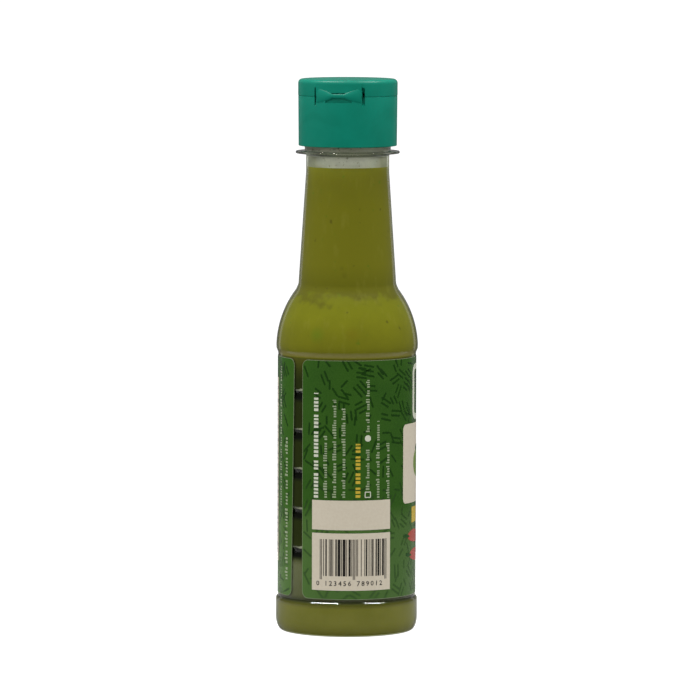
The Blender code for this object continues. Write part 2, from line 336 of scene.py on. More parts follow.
soft_box("soft_box_left", (-0.16, 0.16), (-0.76, -0.10), 75)
soft_box("soft_box_right", (0.38, 0.14), (0.84, -0.16), 75)
bpy.context.scene.view_settings.view_transform = "Standard"

# %% [markdown]
# Most of this bottle is turned: its shape is one outline spun about its axis. By hand that is a single point
# extruded again and again along the outline, then the Spin tool through a full turn. Spin leaves the last
# column on the first one and many points on the axis, so doubles are merged and the normals turned outwards.

# %% Outlines and turning

TURN_STEPS = 144


def arc(centre_radius, centre_height, radius, start_deg, end_deg, steps):
    """Points on part of a circle, both ends included."""
    angles = [math.radians(start_deg + (end_deg - start_deg) * i / steps) for i in range(steps + 1)]
    return [(centre_radius + radius * math.cos(a), centre_height + radius * math.sin(a)) for a in angles]


def rounded(corner, before, after, radius, steps=3):
    """Points that round off a corner between two others."""
    here, one, other = Vector(corner), Vector(before), Vector(after)
    into, out = (one - here).normalized(), (other - here).normalized()
    half = into.angle(out) / 2
    reach = radius / math.tan(half)
    centre = here + (into + out).normalized() * radius / math.sin(half)
    start, end = here + into * reach - centre, here + out * reach - centre
    first = math.atan2(start.y, start.x)
    turn = (math.atan2(end.y, end.x) - first + math.pi) % math.tau - math.pi
    return arc(centre.x, centre.y, radius, math.degrees(first), math.degrees(first + turn), steps)


def moved_in(points, distance):
    """The same outline a wall's thickness further in, for points that run up the outside."""
    found = []
    for i, point in enumerate(points):
        here = Vector(point)
        before, after = Vector(points[max(i - 1, 0)]), Vector(points[min(i + 1, len(points) - 1)])
        steps = [step for step in (here - before, after - here) if step.length > 1e-6]
        normals = [Vector((-step.y, step.x)).normalized() for step in steps]
        mean = sum(normals, Vector((0, 0))).normalized()
        found.append(tuple(here + mean * distance / max(mean.dot(normals[0]), 0.5)))
    return found


def turned(name, outline, ring=False):
    """Extrudes a point along an outline in mm and spins it. A ring's outline closes on itself."""
    piece = new_shape(bpy.ops.mesh.primitive_plane_add, size=MM)
    piece.name = name
    start_editing(piece)
    bpy.ops.mesh.merge(type="CENTER")
    bpy.ops.transform.translate(value=(outline[0][0] * MM, 0, outline[0][1] * MM))
    path = outline + outline[:1] if ring else outline
    for (r0, z0), (r1, z1) in zip(path, path[1:]):
        move = {"value": ((r1 - r0) * MM, 0, (z1 - z0) * MM)}
        bpy.ops.mesh.extrude_vertices_move(TRANSFORM_OT_translate=move)
    bpy.ops.mesh.select_all(action="SELECT")
    bpy.ops.mesh.spin(steps=TURN_STEPS, angle=math.tau, center=(0, 0, 0), axis=(0, 0, 1))
    bpy.ops.mesh.select_all(action="SELECT")
    bpy.ops.mesh.remove_doubles(threshold=0.002 * MM)
    bpy.ops.mesh.normals_make_consistent(inside=False)
    stop_editing()
    smooth(piece)
    return piece

# %% [markdown]
# The body is blown PET, about half a millimetre thick. From the foot up it has a heel, rounded higher than
# wide, a base ring with a round edge, a slightly recessed panel for the label with five shallow stiffening
# grooves, a second round edge, a domed shoulder and a long tapering neck. Under the base is a push-up, so
# that only a ring touches the table.

# %% Outline of the body

BODY_RADIUS = 22.3
PANEL_RADIUS = 21.65
PANEL_BOTTOM = 11.0
HEEL_WIDE, HEEL_HIGH = 2.0, 4.4
RING_EDGE = 1.2
GROOVES = [26.0 + 12.4 * i for i in range(5)]
GROOVE_HEIGHT = 4.1
GROOVE_DEPTH = 0.45
LIP_GAP = 0.15
SHOULDER_ARC = 30.6
SHOULDER_BOTTOM, SHOULDER_TOP = 89.1, 107.6
NECK_FOOT = (15.36, 109.3)
NECK_TOP = (13.05, 144.5)
WALL = 0.45


def groove(middle):
    """An even dip with soft lips. A point just outside each lip keeps the panel flat."""
    points = [(PANEL_RADIUS, middle - GROOVE_HEIGHT / 2 - LIP_GAP)]
    for i in range(13):
        across = i / 6 - 1
        dip = GROOVE_DEPTH * (0.5 + 0.5 * math.cos(math.pi * across)) ** 0.8
        points.append((PANEL_RADIUS - dip, middle + across * GROOVE_HEIGHT / 2))
    return points + [(PANEL_RADIUS, middle + GROOVE_HEIGHT / 2 + LIP_GAP)]


turns = [math.radians(9 * i - 90) for i in range(11)]
body = [(BODY_RADIUS + HEEL_WIDE * (math.cos(t) - 1), HEEL_HIGH * (1 + math.sin(t))) for t in turns]
body += arc(BODY_RADIUS - RING_EDGE, PANEL_BOTTOM - RING_EDGE, RING_EDGE, 0, 60, 8)
body += [(PANEL_RADIUS + 0.01, PANEL_BOTTOM - 0.08), (PANEL_RADIUS, PANEL_BOTTOM + 0.15)]
body += [point for middle in GROOVES for point in groove(middle)]
body += [(PANEL_RADIUS, 87.2), (21.67, 87.5), (21.74, 87.9), (21.90, 88.35), (22.08, 88.75), (22.22, 89.1)]
sweep = math.degrees(math.asin((SHOULDER_TOP - SHOULDER_BOTTOM) / SHOULDER_ARC))
shoulder = arc(BODY_RADIUS - SHOULDER_ARC, SHOULDER_BOTTOM, SHOULDER_ARC, 0.9, sweep, 22)
body += shoulder[1:] + rounded(NECK_FOOT, shoulder[-1], NECK_TOP, 2.6, 6) + [NECK_TOP]
print("body outline has", len(body), "points, from", body[0], "to", body[-1])

# %% [markdown]
# Above the neck come the support ring, which the filling machine holds the bottle by, and the finish, which
# the closure sits on. They are moulded before the body is blown, so they are thicker and clearer. The
# outline goes up the outside, over the mouth and down the inside, a wall's thickness in.

# %% The clear bottle

FINISH_FOOT = (13.03, 150.15)
FINISH_RADIUS = 13.5
RING_LOW, RING_HIGH = (16.3, 150.35), (16.3, 151.05)
FINISH_BASE = (FINISH_RADIUS, 151.2)
MOUTH = 166.3
BORE = 10.9

finish = [(13.04, 147.0), (13.04, 149.2)] + rounded(FINISH_FOOT, NECK_TOP, RING_LOW, 0.7, 5)
finish += rounded(RING_LOW, FINISH_FOOT, RING_HIGH, 0.2) + rounded(RING_HIGH, RING_LOW, FINISH_BASE, 0.2)
finish += rounded(FINISH_BASE, RING_HIGH, (FINISH_RADIUS, MOUTH), 0.3)
finish += [(FINISH_RADIUS, MOUTH - 0.3), (FINISH_RADIUS - 0.3, MOUTH)]
bore = [(BORE + 0.2, MOUTH), (BORE, MOUTH - 0.3), (BORE, 153.4), (11.5, 151.7), (12.5, 149.8)]
push_up = [(0.0, 3.1), (6.0, 3.0), (11.0, 2.5), (14.6, 1.6), (16.4, 0.6), (17.3, 0.0)]
inside = moved_in(body, WALL)[::-1]
inside[0] = (12.6, NECK_TOP[1])
floor_inside = [(17.0, 0.75), (14.6, 2.2), (11.0, 3.1), (6.0, 3.6), (0.0, 3.7)]
clear_bottle = turned("clear_bottle", push_up + body + finish + bore + inside + floor_inside)

# %% [markdown]
# PET is a clear plastic with an index of about 1.57. Where sauce lies against it, the wall only adds its
# gloss: it mirrors about a twentieth of the light seen straight on, and nearly all of it at the rims, where
# the line of sight also runs a long way through the wall and so comes out darker. The moulded finish above
# the sauce is thick and clear, so there it bends the light as glass does. Blowing leaves faint waves in the
# wall. A path tracer finds light through a clear wall hard, so shadow rays pass straight through it.

# %% Clear PET

PET_INDEX = 1.57
FINISH_START = 149.4

pet_wall, add, place = start_material("blown PET wall against sauce")
waves = bumps(add, place, 9, 0.12)
gloss = add("BsdfGlossy", {"Color": "ffffff", "Roughness": 0.06, "Normal": waves})
tint = fade(add, add("LayerWeight", 0.5, out="Facing"), 0.72, 0.86, "fcfdfa", "90936c")
outside = add("Math SUBTRACT", 1.0, add("NewGeometry", out="Backfacing"))
share = add("Math MULTIPLY", add("Fresnel", PET_INDEX, waves), outside)
add("OutputMaterial", add("MixShader", share, add("BsdfTransparent", tint), gloss))

pet_finish, add, place = start_material("moulded PET finish")
plastic = {"Base Color": "d8dcca", "Roughness": 0.07, "IOR": PET_INDEX, "Transmission Weight": 1.0}
solid = add("BsdfPrincipled", {**plastic, "Normal": bumps(add, place, 5, 0.1)})
shadow = add("LightPath", out="Is Shadow Ray")
add("OutputMaterial", add("MixShader", shadow, solid, add("BsdfTransparent", "f7f8f6")))

clear_bottle.data.materials.append(pet_wall)
clear_bottle.data.materials.append(pet_finish)
for face in clear_bottle.data.polygons:
    face.material_index = 1 if face.center.z > FINISH_START * MM else 0

# %% [markdown]
# The sauce fills the bottle to a few millimetres above the top of the neck's taper. Its surface reaches a
# tenth of a millimetre into the plastic, so that no air shows between them, and its top curls up a little at
# the wall.

# %% The sauce

FILL = 145.7
REACH = WALL - 0.1

column = moved_in(body, REACH)
column[0] = (column[0][0], 0.6)
surface = [(NECK_TOP[0] - REACH, NECK_TOP[1]), (12.66, FILL + 0.5), (12.3, FILL + 0.25)]
surface += [(11.4, FILL), (0.0, FILL)]
under = [(0.0, 3.6), (6.0, 3.5), (11.0, 3.0), (14.6, 2.1), (17.0, 0.65)]
sauce = turned("sauce_fill", under + column[:-1] + surface)

# %% [markdown]
# Above the sauce the bottle isn't quite empty: shaking has left a thin pale film of whey and droplets on the
# inside of the wall, up into the mouth. It is a thin sleeve that lies against the wall, milky and nearly
# opaque, and darker where it is seen edge on. From just below the support ring up it is painted paler, as
# painted light against the shade of the ring and the thick finish. Above the ring, where it is seen edge on,
# it carries a painted reflection of the dark green closure.

# %% Film left above the sauce

sleeve_outside = [(12.64, FILL - 0.3), (12.52, 149.75), (11.53, 151.65), (10.93, 153.4), (10.92, 165.9)]
sleeve_inside = [(10.80, 165.9), (10.80, 153.3), (11.4, 151.5), (12.3, 149.6), (12.4, FILL - 0.3)]
residue = turned("residue_film", sleeve_outside + sleeve_inside, ring=True)

milky, add, place = start_material("thin film of sauce on the wall")
height = in_mm(add, place, "Z")
smears = add("TexNoise", place, 1 / (2.5 * MM), 4.0)
shade = fade(add, smears, 0.35, 0.65, "b6b7a8", "bfbfb1")
# Painted light: paler from just below the support ring up, against the shade of the ring and the finish.
shade = fade(add, height, 147.0, 149.2, shade, "dadbcc")
shade = fade(add, add("TexNoise", place, 1 / (0.9 * MM), 1.0), 0.66, 0.74, shade, "6e6d52", 0.6)
# Edge on the film is darker, and above the ring this is a painted reflection of the dark green closure.
edge_on_and_closure_reflection = fade(add, height, 150.8, 151.3, "80836a", "2a4230")
shade = fade(add, add("LayerWeight", 0.5, out="Facing"), 0.12, 0.45, shade, edge_on_and_closure_reflection, 0.8)
smeared = add("BsdfPrincipled", {"Base Color": shade, "Roughness": 0.5, "Specular IOR Level": 0.1})
cover = add("MapRange", smears, 0.3, 0.7, 0.80, 0.92)
add("OutputMaterial", add("MixShader", cover, add("BsdfTransparent", "ffffff"), smeared))
residue.data.materials.append(milky)

# %% [markdown]
# Green hot sauce is blended tomatillo, chilli and herbs: an opaque olive purée with paler pulp, green flecks
# and a few dark seeds. A scrap of leaf, a brown bit and two seeds lie against the wall. It has settled
# unevenly, so it is browner in the neck, with a ragged edge to the fresher green of the shoulder. The
# shoulder's top and the base ring have painted shade. Behind the label hardly any light reaches it, so
# painted shade makes it nearly black in the gap between the label's ends and in each groove. A pale painted
# reflection lies under the upper lip of each groove, and another on the rounded step above the label.

# %% Green sauce

green_sauce, add, place = start_material("blended green chilli sauce")
height = in_mm(add, place, "Z")
cloud = add("TexNoise", place, 1 / (7 * MM), 4.0)
fresh = fade(add, cloud, 0.35, 0.65, "818217", "888918")
fresh = fade(add, height, 101, 90, fresh, "787619", 0.6)
# The shoulder's top is painted a little darker: painted shade against the strong light from above.
fresh = fade(add, height, 98, 106, fresh, "7a7c10")
brown = fade(add, height, 106, 116, "6a6913", "7e7c1a")
brown = fade(add, height, 133, 145, brown, "77751d")
ragged = add("Math MULTIPLY_ADD", add("TexNoise", place, 1 / (4.6 * MM), 2.5), 15, height)
pulp = fade(add, ragged, 112.2, 114.6, fresh, brown)
drawn_out = add("Mapping", {"Vector": place, "Scale": (1, 1, 0.35)})
pulp = fade(add, add("TexNoise", drawn_out, 1 / (2.4 * MM), 3.0), 0.58, 0.75, pulp, "95923a", 0.25)
pulp = fade(add, add("TexNoise", place, 1 / (2.4 * MM), 1.0), 0.72, 0.78, pulp, "5d7a18", 0.6)
pulp = fade(add, add("TexNoise", place, 1 / (1.8 * MM), 0.0), 0.81, 0.87, pulp, "4a4214", 0.5)

# Scraps against the wall: degrees round from the back, distance from the axis, height and size in mm, colour.
scraps = [(-14.5, 21.8, 94.7, 3.0, "3f8a1e"), (15.8, 21.8, 95.0, 3.0, "7f6a12")]
scraps += [(7.9, 15.0, 112.9, 1.3, "45400f"), (4.3, 15.0, 115.1, 1.0, "45400f")]
for degrees, out, level, size, colour in scraps:
    turn = math.radians(degrees)
    spot = Vector((out * math.sin(turn), -out * math.cos(turn), level)) * MM
    distance = add("VectorMath DISTANCE", place, spot)
    nearness = add("MapRange", distance, size * MM, 0.2 * size * MM, 0.0, 0.5)
    share = add("Math MULTIPLY", nearness, cloud)
    pulp = add("Mix", share, pulp, colour, data_type="RGBA")
# A pale tan band on the rounded step above the label is a painted reflection.
pulp = add("Mix", band(add, height, 87.3, 87.6, 88.4, 89.2), pulp, "8f8842", data_type="RGBA")

# Heights in mm and colours of the sauce behind the label, from the base ring up to the shoulder's foot. They
# are painted shade, darkest just above the base ring and over most of the panel, lighter from 12.5 to 22 mm,
# where they carry a painted reflection of the table, and lighter again towards the top.
TOP_STOP = 90
shade_and_reflection_behind_label = [(9, "404318"), (11, "31361a"), (12.5, "5a5f34"), (22, "6a6f46"), (24.5, "3c441a")]
shade_and_reflection_behind_label += [(30, "2c350a"), (80, "2c350a"), (83.5, "40460f"), (87, "5e5f1c")]
shaded = add("ValToRGB", add("MapRange", height, 0, TOP_STOP))
stops = shaded.node.color_ramp.elements
for i, (level, colour) in enumerate(shade_and_reflection_behind_label):
    stop = stops[i] if i < 2 else stops.new(level / TOP_STOP)
    stop.position = level / TOP_STOP
    stop.color = linear(colour)

# Height from the middle of the nearest groove, then painted shade in the groove and a pale painted reflection
# under its upper lip.
from_groove = add("Math SUBTRACT", add("Math WRAP", height, 32.2, 19.8), GROOVES[0])
in_panel = band(add, height, 19.7, 20.0, 81.8, 82.2)
# Painted shade: each groove is painted nearly black.
black = add("Math MULTIPLY", band(add, from_groove, -2.7, -1.3, 1.2, 1.6), in_panel)
shaded = add("Mix", black, shaded, "0b0f04", data_type="RGBA")
x = in_mm(add, place, "X")
wavy = add("Math MULTIPLY_ADD", add("TexNoise", place, 1 / (3 * MM)), 1.2, from_groove)
upper = add("Math ADD", wavy, add("MapRange", x, -10.5, -13.2, 0.0, 0.5))
# The pale mark under each groove's upper lip is a painted reflection of the pale table.
lip_reflection = add("Math MULTIPLY", add("MapRange", wavy, 1.8, 2.0), add("MapRange", upper, 2.7, 2.5))
for part in (in_panel, add("MapRange", x, -13.0, -11.0, 0.4, 1.0)):
    lip_reflection = add("Math MULTIPLY", lip_reflection, part)
shaded = add("Mix", lip_reflection, shaded, "a9ad92", data_type="RGBA")
# In the base ring the sauce is painted a little darker, as painted shade, with a mottle of its own.
ring_colour = fade(add, cloud, 0.35, 0.65, "74741b", "7c7b23")
shaded = fade(add, height, 10.8, 8.7, shaded, ring_colour)
colour = fade(add, height, 87.0, 87.4, shaded, pulp)
paste = {"Base Color": colour, "Roughness": 0.6, "Specular IOR Level": 0.03}
add("OutputMaterial", add("BsdfPrincipled", {**paste, "Normal": bumps(add, place, 0.9, 0.2)}))
sauce.data.materials.append(green_sauce)

# %% [markdown]
# The label is a printed plastic film. It is cut flat as one sheet with rounded corners, and its far end is
# cut a little aslant. The sheet is sliced into narrow strips, and each point is then wrapped round the panel
# by its distance along the sheet. Simple Deform would measure every printed layer by its own box, so a line
# of trigonometry wraps them all alike.

# %% Flat sheets and wrapping

LABEL_RADIUS = 21.8
LABEL_BOTTOM = 11.9
LABEL_TOP = 86.8
STRIP = LABEL_RADIUS * math.radians(3)


def along(degrees):
    """Distance along the sheet, in mm, for an angle round the bottle from the back towards +X."""
    return LABEL_RADIUS * math.radians(degrees)


def upright(operator, **settings):
    """Adds a flat shape that stands in the XZ plane, as the flat sheet does."""
    shape = new_shape(operator, rotation=(math.pi / 2, 0, 0), **settings)
    apply_placing()
    return shape


def wrap(piece, proud):
    """Slices a flat sheet and wraps it round the bottle, proud of the film and facing outwards."""
    start_editing(piece)
    positions = [v.co.x / MM for v in piece.data.vertices]
    first, last = math.ceil(min(positions) / STRIP), math.floor(max(positions) / STRIP)
    for i in range(first, last + 1):
        slice_at(i * STRIP)
    stop_editing()
    radius = (LABEL_RADIUS + proud) * MM
    for vertex in piece.data.vertices:
        angle = vertex.co.x / (LABEL_RADIUS * MM)
        vertex.co = (radius * math.sin(angle), -radius * math.cos(angle), vertex.co.z)
    start_editing(piece, "FACE")
    mesh = bmesh.from_edit_mesh(piece.data)
    for face in mesh.faces:
        middle = face.calc_center_median()
        face.select_set(face.normal.x * middle.x + face.normal.y * middle.y < 0)
    bmesh.update_edit_mesh(piece.data)
    bpy.ops.mesh.flip_normals()
    stop_editing()

# %% [markdown]
# The film is white polypropylene printed all over in a deep leaf green, then varnished, so it is glossy,
# with the faint unevenness of printed ink. Low on the label the green and its strokes fade to a lighter,
# yellower one, a painted reflection of the pale table, and towards the left the green has painted light. Its
# margin and cut edge show the paler film.

# %% Printed film and its cut edge

printed_film, add, place = start_material("varnished green print on film")
x, z = in_mm(add, place, "X"), in_mm(add, place, "Z")
green = fade(add, add("TexNoise", place, 1 / (16 * MM), 3.0), 0.35, 0.65, "2f5a17", "376219")
# Lower on the label the green turns lighter and yellower: a painted reflection of the pale table.
green = fade(add, z, 41, 36, green, "4f7136")
# Towards the left the green is painted lighter: painted light from the left.
painted_light_green = add("Mix", 1.0, green, (1.25, 1.28, 1.1, 1), data_type="RGBA", blend_type="MULTIPLY")
green = fade(add, x, -2, -18, green, painted_light_green)
green = fade(add, add("TexNoise", place, 1 / (0.35 * MM), 1.0), 0.3, 0.7, green, "446d26", 0.35)
varnish = {"Base Color": green, "Roughness": 0.26, "Specular IOR Level": 0.28}
add("OutputMaterial", add("BsdfPrincipled", {**varnish, "Normal": bumps(add, place, 5, 0.10, 0.1)}))

film_edge, add, place = start_material("cut edge of white film")
grey_green = add("TexNoise", place, 1 / (1.5 * MM))
shade = add("Mix", grey_green, "7c8f62", "8c9b74", data_type="RGBA")
add("OutputMaterial", add("BsdfPrincipled", {"Base Color": shade, "Roughness": 0.5}))

# %% [markdown]
# The label's sheet starts as a plane whose corners are pulled to their places and rounded. A narrow
# unprinted margin is inset all round it, before it is wrapped and given its thickness.

# %% The label film

LABEL_START = along(-28.3)
LABEL_END_TOP = along(322.4)
LABEL_END_BOTTOM = along(318.7)
LABEL_CORNER = 2.2
FILM = 0.13
MARGIN = 0.15

film = upright(bpy.ops.mesh.primitive_plane_add, size=MM)
film.name = "label_film"
corners = {(-1, -1): (LABEL_START, LABEL_BOTTOM), (-1, 1): (LABEL_START, LABEL_TOP)}
corners.update({(1, -1): (LABEL_END_BOTTOM, LABEL_BOTTOM), (1, 1): (LABEL_END_TOP, LABEL_TOP)})
start_editing(film)
for (side, level), (x, z) in corners.items():
    pick_points(film, lambda p: 0 < p.x * side < 1 and 0 < p.z * level < 1)
    bpy.ops.transform.translate(value=((x - side * 0.5) * MM, 0, (z - level * 0.5) * MM))
bpy.ops.mesh.select_all(action="SELECT")
bpy.ops.mesh.bevel(offset=LABEL_CORNER * MM, segments=8, affect="VERTICES")
bpy.ops.mesh.select_all(action="SELECT")
bpy.ops.mesh.inset(thickness=MARGIN * MM)
stop_editing()
film.data.materials.append(printed_film)
film.data.materials.append(film_edge)
printed_face = max(film.data.polygons, key=lambda face: face.area)
for face in film.data.polygons:
    face.material_index = 0 if face == printed_face else 1
wrap(film, 0.0)
finish_with(film, "SOLIDIFY", thickness=FILM * MM, offset=-1.0)
smooth(film)

# %% [markdown]
# Everything printed on the label is laid out flat and wrapped the same way, a hundredth of a millimetre or
# more proud of the film. One block and one dash are modelled, and all others are stretched copies of them.

# %% Ink

INK = 0.012


def ink(name, main, second, roughness=0.3, table_reflection_low=None):
    """Printing ink under varnish, with a faint mottle. Low on the label it can fade to a lighter colour, a
    painted reflection of the table.
    """
    material, add, place = start_material(name)
    shade = fade(add, add("TexNoise", place, 1 / (0.8 * MM)), 0.3, 0.7, main, second)
    if table_reflection_low:
        shade = fade(add, in_mm(add, place, "Z"), 52, 34, shade, table_reflection_low, 0.8)
    rough = add("TexNoise", place, 1 / (2.5 * MM))
    rough = add("MapRange", rough, 0.3, 0.7, roughness - 0.04, roughness + 0.05)
    varnished = {"Base Color": shade, "Roughness": rough, "Specular IOR Level": 0.28}
    add("OutputMaterial", add("BsdfPrincipled", varnished))
    return material


dark_green_ink = ink("dark green ink", "1a4208", "1f480b", table_reflection_low="3d5f27")
cream_ink = ink("cream ink", "dfd4be", "e4dac5", 0.35)
white_ink = ink("white ink", "dcdfca", "e4e6d3")
pale_ink = ink("pale green ink", "9fae88", "abb896")
yellow_ink = ink("yellow ink", "d3b436", "dabd44")
red_ink = ink("red ink", "ba4f43", "c4594c")
black_ink = ink("black ink", "2a2723", "34302c")
lime_ink = ink("lime green ink", "6f8f2b", "7b9a33")
deep_green_ink = ink("deep green ink", "24501c", "2b5921")

unit_block = upright(bpy.ops.mesh.primitive_plane_add, size=1.0)
unit_block.name = "unit_block"
unit_dash = upright(bpy.ops.mesh.primitive_plane_add, size=1.0)
unit_dash.name = "unit_dash"
unit_dash.scale = (4.0, 1, 0.62)
apply_placing()
start_editing(unit_dash)
bpy.ops.mesh.bevel(offset=0.29, segments=3, affect="VERTICES")
stop_editing()


def put(shape, x, z, width, height, turn_deg):
    """Stretches and turns a flat unit shape and puts it at a place on the flat sheet, in mm."""
    shape.scale = (width * MM, MM, height * MM)
    shape.rotation_euler = (0, math.radians(turn_deg), 0)
    shape.location = (x * MM, 0, z * MM)
    return shape


def copy_of(pattern, x, z, width, height, turn_deg=0.0):
    one = pattern.copy()
    one.data = pattern.data.copy()
    bpy.context.scene.collection.objects.link(one)
    return put(one, x, z, width, height, turn_deg)


def block(left, low, right, high):
    return copy_of(unit_block, (left + right) / 2, (low + high) / 2, right - left, high - low)


def printed_layer(name, shapes, material, proud):
    """Joins flat shapes into one layer of ink, trimmed to the sheet, wrapped and given a little body."""
    deselect_all()
    for shape in shapes:
        shape.select_set(True)
    bpy.context.view_layer.objects.active = shapes[0]
    bpy.ops.object.join()
    layer = bpy.context.object
    layer.name = name
    apply_placing()
    start_editing(layer)
    for level, outwards in ((LABEL_TOP - MARGIN, 1), (LABEL_BOTTOM + MARGIN, -1)):
        bpy.ops.mesh.select_all(action="SELECT")
        bpy.ops.mesh.bisect(plane_co=(0, 0, level * MM), plane_no=(0, 0, outwards), clear_outer=True)
    stop_editing()
    wrap(layer, proud)
    finish_with(layer, "SOLIDIFY", thickness=INK * MM, offset=-1.0)
    layer.data.materials.clear()
    layer.data.materials.append(material)
    report(layer)
    return layer

# %% [markdown]
# The green ground is strewn with short darker strokes at all angles, many in parallel pairs and threes,
# about one every four millimetres. Each group is put in its own cell of a loose grid, moved at random from
# the cell's middle. The pattern runs off the sheet above and below, but keeps clear of its round corners.

# %% Strewn strokes

rng = random.Random(7)
CELL = 4.2
STROKE_GAP = 1.45
CORNER_REACH = 2.3
strokes = []
columns = int((along(317) - LABEL_START) / CELL) + 1
rows = int((LABEL_TOP - LABEL_BOTTOM) / CELL) + 2
for i in range(columns):
    for j in range(rows):
        x = LABEL_START + (i + 0.4 + rng.uniform(-0.35, 0.35)) * CELL
        z = LABEL_BOTTOM + (j + 0.4 + rng.uniform(-0.35, 0.35)) * CELL
        lean = rng.choice((10, 35, 50, 65, 90, 120, 135, 155)) + rng.uniform(-8, 8)
        cosine, sine = math.cos(math.radians(lean)), math.sin(math.radians(lean))
        for k in range(rng.choice((1, 1, 1, 2, 2, 3))):
            length = rng.uniform(0.65, 1.15)
            slide = rng.uniform(-0.6, 0.6)
            at_x = x + slide * cosine + STROKE_GAP * k * sine
            at_z = z - slide * sine + STROKE_GAP * k * cosine
            half_x, half_z = 2.0 * length * abs(cosine) + 0.5, 2.0 * length * abs(sine) + 0.5
            room = min(at_x - half_x - LABEL_START, along(317.5) - half_x - at_x)
            inset = half_z if room < CORNER_REACH else 0.0
            if room > 0 and LABEL_BOTTOM + inset < at_z < LABEL_TOP - inset:
                strokes.append(copy_of(unit_dash, at_x, at_z, length, 1.0, lean))
print(len(strokes), "strokes")
stroke_layer = printed_layer("print_strokes", strokes, dark_green_ink, INK)

# %% [markdown]
# On the back, lines of print run up the bottle, over two blank boxes, and the lower box holds a bar code
# with bars of no meaning. None of it is lettering: each line is a row of letter-sized blocks, grouped as
# words. Places measured in pixels of the view are turned into millimetres on the sheet.

# %% Lines of print and boxes on the back

AXIS_X = 346.4
PANEL_HALF = 69.15
BOTTOM_Y = 628.2
MM_PER_PIXEL = 0.3163


def line_of_print(x_mid, low, high, size, capitals=False):
    """A line that runs upwards: blocks of a letter's size, with a space after every few."""
    marks, z, left = [], low, rng.randint(3, 8)
    while z < high:
        tall = size * (1.0 if capitals or rng.random() < 0.3 else 0.68)
        wide = size * (rng.uniform(0.42, 0.62) if capitals else rng.uniform(0.30, 0.46))
        base = x_mid + size / 2
        marks.append(block(base - tall, z, base, min(z + wide, high)))
        z += wide + 0.26 * size
        left -= 1
        if left == 0:
            z += 0.5 * size
            left = rng.randint(2, 8)
    return marks


def height_at(y, x):
    """Height in mm of a point on the label's near side that shows at pixel x, y of the view."""
    offset = (x - AXIS_X) / PANEL_HALF
    near = math.sqrt(max(0.0, 1 - offset * offset))
    slope = 0.05 + (y - 147) * 0.00018
    return (BOTTOM_Y - (y - slope * PANEL_HALF * near)) * MM_PER_PIXEL


def turn_at(x):
    """Distance along the label of the line that shows at pixel x of the view."""
    return along(math.degrees(math.asin((x - AXIS_X) / PANEL_HALF) + VIEW_TURN))


# Each line's pixel column, its upper and lower ends, and the height of its capitals in mm.
small_print = []
back_lines = [(325, 433, 497, 1.2), (334, 399, 497, 1.2), (343, 405, 497, 1.2), (367, 447, 489, 1.15)]
back_lines += [(367, 379, 431, 1.15), (377, 420, 497, 1.2), (387, 442, 497, 1.2)]
for x, top, bottom, size in back_lines:
    small_print += line_of_print(turn_at(x), height_at(bottom, x), height_at(top, x), size)
headings = line_of_print(turn_at(316), height_at(497, 316), height_at(392, 316), 1.5, capitals=True)
yellow_marks = line_of_print(turn_at(357.5), height_at(497, 357), height_at(443, 357), 1.5, capitals=True)
for degrees, low, high, size in ((300.2, 40, 84, 1.3), (311.0, 17, 62, 1.7)):
    small_print += line_of_print(along(degrees), low, high, size)

box_left, box_right = turn_at(312.2), turn_at(389.4)
upper_box = block(box_left, height_at(529.7, 350), box_right, height_at(500, 350))
lower_box = block(box_left, height_at(590.5, 350), box_right, height_at(533, 350))

# %% [markdown]
# A bar code of this kind is 95 modules wide. Three guards stand a little longer, and between them each digit
# takes seven modules, shared out between two bars and two gaps. Here the shares are random, so the code
# means nothing.

# %% Bar code

GUARD_DROP = 1.1
bar_low, bar_high = height_at(576, 350), height_at(539, 350)
code_left, code_right = turn_at(320.0), turn_at(385.8)
MODULE = (code_right - code_left) / 95
bars, at = [], 0


def add_bar(at, modules, low=bar_low):
    left = code_left + at * MODULE
    bars.append(block(left, low, left + modules * MODULE, bar_high))


for half in range(2):
    for guard in (0, 2):
        add_bar(at + guard + half, 1, bar_low - GUARD_DROP)
    at += 3 + 2 * half
    for digit in range(6):
        cuts = sorted(rng.sample(range(1, 7), 3))
        widths = [cuts[0], cuts[1] - cuts[0], cuts[2] - cuts[1], 7 - cuts[2]]
        first = 0 if half else 1
        for k in (first, first + 2):
            add_bar(at + sum(widths[:k]), widths[k])
        at += 7
for guard in (0, 2):
    add_bar(at + guard, 1, bar_low - GUARD_DROP)


def digits(text, x, z, size):
    """Plain digits from Blender's own font, turned into a flat shape."""
    place = {"location": (x * MM, 0, z * MM), "rotation": (math.pi / 2, 0, 0)}
    one = new_shape(bpy.ops.object.text_add, **place)
    one.data.body = text
    one.data.size = size * MM
    one.data.space_character = 1.42
    one.data.offset = 0.03 * MM
    one.data.resolution_u = 2
    bpy.ops.object.convert(target="MESH")
    return bpy.context.object


for text, x in (("0", 316.5), ("123456", 324.5), ("789012", 356.5)):
    bars.append(digits(text, turn_at(x), bar_low - 3.0, 2.1))
print(len(small_print), "small marks", len(bars), "bars")

# %% [markdown]
# Beside one line stand a round white spot and a small outlined square. They are a disc, and a plane whose
# middle is inset and deleted.

# %% Spot and square

spot_place = (turn_at(367.2) * MM, 0, height_at(437.5, 367) * MM)
spot = {"vertices": 32, "radius": 1.0 * MM, "fill_type": "NGON", "location": spot_place}
headings.append(upright(bpy.ops.mesh.primitive_circle_add, **spot))


def rounded_block(left, low, right, high, corner, segments=8, line=None):
    """A block with round corners, or only its outline where the outline's width is given."""
    shape = block(left, low, right, high)
    select_only(shape)
    apply_placing()
    start_editing(shape)
    bpy.ops.mesh.bevel(offset=corner * MM, segments=segments, affect="VERTICES")
    if line:
        bpy.ops.mesh.select_all(action="SELECT")
        bpy.ops.mesh.inset(thickness=line * MM)
        bpy.ops.mesh.delete(type="FACE")
    stop_editing()
    return shape


